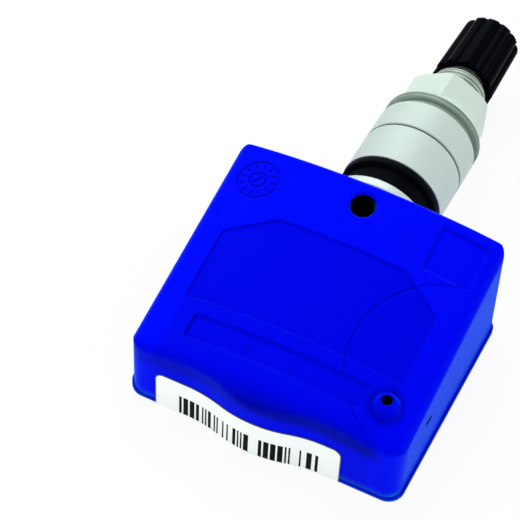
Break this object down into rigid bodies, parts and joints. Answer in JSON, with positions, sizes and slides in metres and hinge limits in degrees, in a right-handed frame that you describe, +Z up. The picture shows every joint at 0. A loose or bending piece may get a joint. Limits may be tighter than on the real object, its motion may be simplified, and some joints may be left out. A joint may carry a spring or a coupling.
{
  "type": "tyre pressure sensor",
  "caption": "Battery-powered tyre pressure sensor in a blue wedge-shaped housing, fixed to a clamp-in wheel valve with rubber grommet, collars, hex nut and ribbed cap.",
  "frame": {"origin": "centre of the flat base of the housing, on the base cover's underside, midway between the side walls and between the front and back walls", "axes": "X across the housing, +Y out through the valve, +Z up from the flat base to the curved roof. The valve leans down by 3 degrees from +Y"},
  "size_m": [0.0518, 0.1012, 0.0248],
  "materials": {
    "blue_housing_plastic": "satin moulded polyamide",
    "blue_cover_plastic": "satin moulded polyamide",
    "white_label_film": "matt printed film",
    "green_circuit_laminate": "solder mask",
    "cell_can_steel": "satin",
    "nickel_strip": "satin",
    "black_chip_moulding": "matt",
    "grey_gasket_rubber": "matt",
    "crystal_can_steel": "satin",
    "switch_can_brass": "satin",
    "black_ferrite": "matt",
    "lacquered_copper_wire": "lacquered",
    "bare_copper_wire": "bright",
    "tan_ceramic_capacitor": "matt",
    "stem_aluminium": "bright anodised",
    "black_grommet_rubber": "matt",
    "collar_aluminium": "turned, anodised",
    "washer_steel": "plated",
    "nut_aluminium": "bright anodised",
    "core_brass": "turned",
    "red_core_gasket": "matt",
    "black_core_seal": "matt",
    "spring_steel": "bright wire",
    "black_cap_plastic": "satin moulded plastic",
    "black_cap_seal_rubber": "matt"
  },
  "bodies": {
    "sensor": {"housing": "blue_housing_plastic", "base_cover": "blue_cover_plastic", "label": "white_label_film", "circuit_board": "green_circuit_laminate", "battery_cell": "cell_can_steel", "battery_tab_positive": "nickel_strip", "battery_tab_negative": "nickel_strip", "pressure_chip": "black_chip_moulding", "port_gasket": "grey_gasket_rubber", "controller_chip": "black_chip_moulding", "quartz_crystal": "crystal_can_steel", "motion_switch": "switch_can_brass", "trigger_coil_core": "black_ferrite", "trigger_coil_winding": "lacquered_copper_wire", "aerial_wire": "bare_copper_wire", "chip_capacitors": "tan_ceramic_capacitor", "valve_stem": "stem_aluminium", "rubber_grommet": "black_grommet_rubber", "rim_collar": "collar_aluminium", "outer_collar": "collar_aluminium", "core_plug": "core_brass", "core_gasket": "red_core_gasket", "core_barrel": "core_brass", "core_spring": "spring_steel"},
    "nut_washer": {"nut_washer": "washer_steel"},
    "nut": {"hex_nut": "nut_aluminium"},
    "cap_seat": {"cap_seal": "black_cap_seal_rubber"},
    "cap": {"valve_cap": "black_cap_plastic"},
    "pin": {"core_pin": "core_brass", "core_seal": "black_core_seal"}
  },
  "joints": [
    {"name": "nut_travel", "type": "slide", "parent": "sensor", "child": "nut_washer", "axis": [0, 0.9986, -0.0523], "range_m": [0, 0.00453]},
    {"name": "nut_turn", "type": "hinge", "parent": "nut_washer", "child": "nut", "pos_m": [0, 0.0215, 0.0124], "axis": [0, 0.9986, -0.0523], "range_deg": [0, 1800]},
    {"name": "cap_travel", "type": "slide", "parent": "sensor", "child": "cap_seat", "axis": [0, 0.9986, -0.0523], "range_m": [0, 0.01032]},
    {"name": "cap_turn", "type": "hinge", "parent": "cap_seat", "child": "cap", "pos_m": [0, 0.0215, 0.0124], "axis": [0, 0.9986, -0.0523], "range_deg": [0, 4680]},
    {"name": "pin_press", "type": "slide", "parent": "sensor", "child": "pin", "axis": [0, -0.9986, 0.0523], "range_m": [0, 0.001], "stiffness_N_per_m": 1500, "springref_m": -0.001, "deforming": ["core_spring"]}
  ],
  "couplings": [
    {"joint": "nut_turn", "follows": "nut_travel", "rad_per_m": 6927.4},
    {"joint": "cap_turn", "follows": "cap_travel", "rad_per_m": 7913.3}
  ]
}
